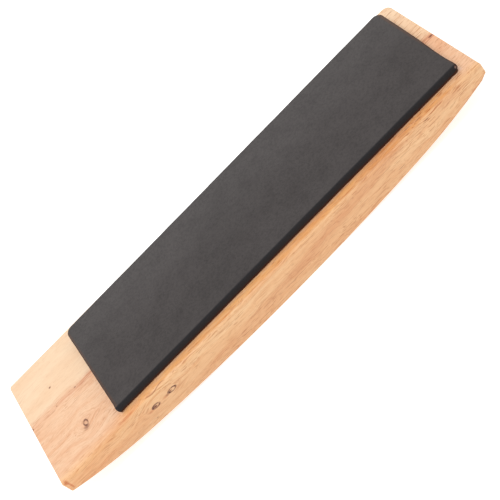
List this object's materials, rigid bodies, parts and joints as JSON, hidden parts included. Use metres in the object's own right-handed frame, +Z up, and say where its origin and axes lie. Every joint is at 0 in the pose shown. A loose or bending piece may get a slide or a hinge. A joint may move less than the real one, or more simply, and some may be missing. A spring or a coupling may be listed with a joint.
{
  "type": "leather strop",
  "caption": "Bench strop: black leather strip glued on the flat top of a wooden block whose underside curves up at both ends.",
  "frame": {"origin": "middle of the line that the curved underside rests on", "axes": "+X along the block from the bare grip end to the covered end, +Y across it, +Z up out of the leather face"},
  "size_m": [0.2126, 0.06, 0.0192],
  "materials": {
    "wood": "bare sanded hardwood, light orange-pink, with fine pores and small knots",
    "leather": "matte charcoal black leather with darker cut sides",
    "glue": "dried contact adhesive, dark brown"
  },
  "bodies": {
    "root": {"wooden_block": "wood", "leather_strip": "leather", "glue_film": "glue"}
  },
  "joints": []
}
